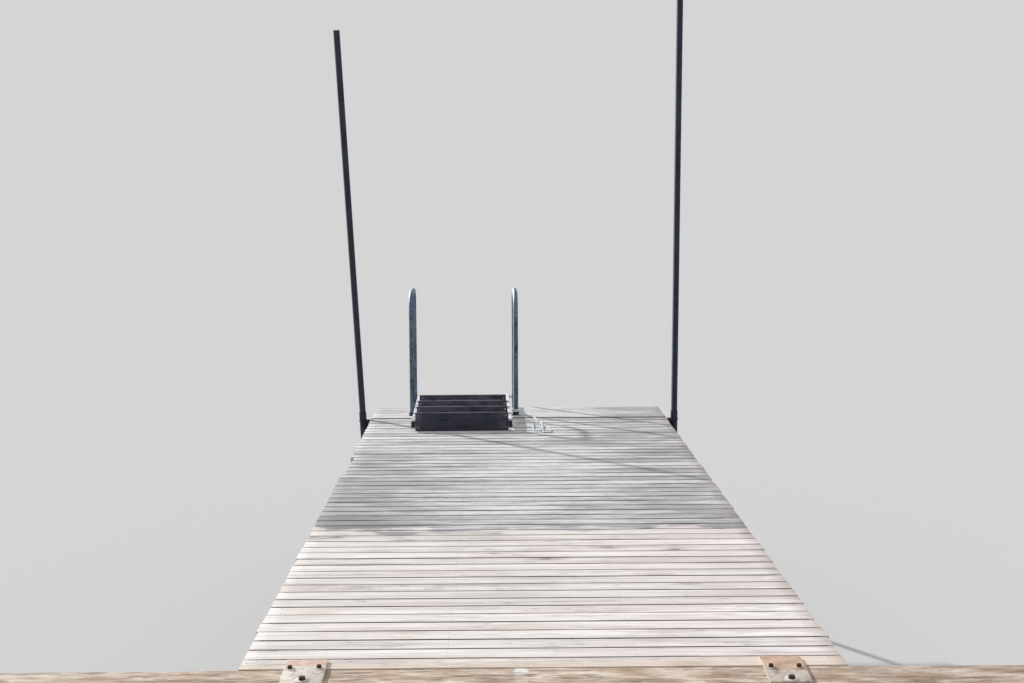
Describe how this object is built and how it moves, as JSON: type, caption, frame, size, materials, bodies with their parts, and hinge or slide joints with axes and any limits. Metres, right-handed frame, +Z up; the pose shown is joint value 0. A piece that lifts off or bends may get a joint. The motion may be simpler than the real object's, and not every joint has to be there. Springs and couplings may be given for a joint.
{
  "type": "bathing jetty with fold-up ladder",
  "caption": "Narrow boarded jetty sloping from a piled shore beam to two steel poles, with handrails and a bathing ladder folded up on its far end.",
  "frame": {"origin": "centre of the middle shore pile's foot, on the ground", "axes": "+X to the right seen from the shore, +Y out over the water along the deck, +Z up"},
  "size_m": [4, 5.9914, 4.2487],
  "materials": {
    "deck_board": "weathered bare pine, silver grey, open grain",
    "beam_timber": "weathered sawn timber, grey brown",
    "pile_timber": "weathered round timber, dark at the foot",
    "frame_timber": "sawn timber, brown grey",
    "tread_wood": "dark stained wood, matt",
    "plate_steel": "dull galvanised with rust on the deck side",
    "pole_steel": "dark weathered steel",
    "galvanised_tube": "dull galvanised",
    "ladder_rail": "pale, smooth",
    "black_foot": "matt black",
    "rope": "pale laid rope",
    "black_plug": "matt black"
  },
  "bodies": {
    "jetty": {"shore_beam": "beam_timber", "pile_left": "pile_timber", "pile_centre": "pile_timber", "pile_right": "pile_timber", "ledger": "frame_timber", "tie_plate_left": "plate_steel", "tie_plate_right": "plate_steel", "near_header": "frame_timber", "far_header": "frame_timber", "joist_left_outer": "frame_timber", "joist_left_inner": "frame_timber", "joist_right_inner": "frame_timber", "joist_right_outer": "frame_timber", "blocking": "frame_timber", "deck_boards_1": "deck_board", "deck_boards_2": "deck_board", "deck_boards_3": "deck_board", "deck_boards_4": "deck_board", "deck_boards_5": "deck_board", "end_boards": "deck_board", "pole_tie_bar": "pole_steel", "pole_bracket_left": "pole_steel", "pole_bracket_right": "pole_steel", "pole_sleeve_left": "pole_steel", "pole_sleeve_right": "pole_steel", "pole_left": "pole_steel", "pole_right": "pole_steel", "handrail_left": "galvanised_tube", "handrail_right": "galvanised_tube", "handrail_foot_left": "black_foot", "handrail_foot_right": "black_foot", "handrail_bracket_left": "galvanised_tube", "handrail_bracket_right": "galvanised_tube", "pivot_bolt_left": "galvanised_tube", "pivot_bolt_right": "galvanised_tube", "rope_hitch": "rope", "pull_rope": "rope"},
    "ladder": {"ladder_rail_left": "ladder_rail", "ladder_rail_right": "ladder_rail", "ladder_tread_1": "tread_wood", "ladder_tread_2": "tread_wood", "ladder_tread_3": "tread_wood", "ladder_tread_4": "tread_wood", "rail_plug_left": "black_plug", "rail_plug_right": "black_plug", "pull_eye": "galvanised_tube"}
  },
  "joints": [
    {"name": "ladder_fold", "type": "hinge", "parent": "jetty", "child": "ladder", "pos_m": [-0.38982, 5.79002, 1.24608], "axis": [0.9999, 0.0139, -0.0015], "range_deg": [-264, 0]}
  ]
}
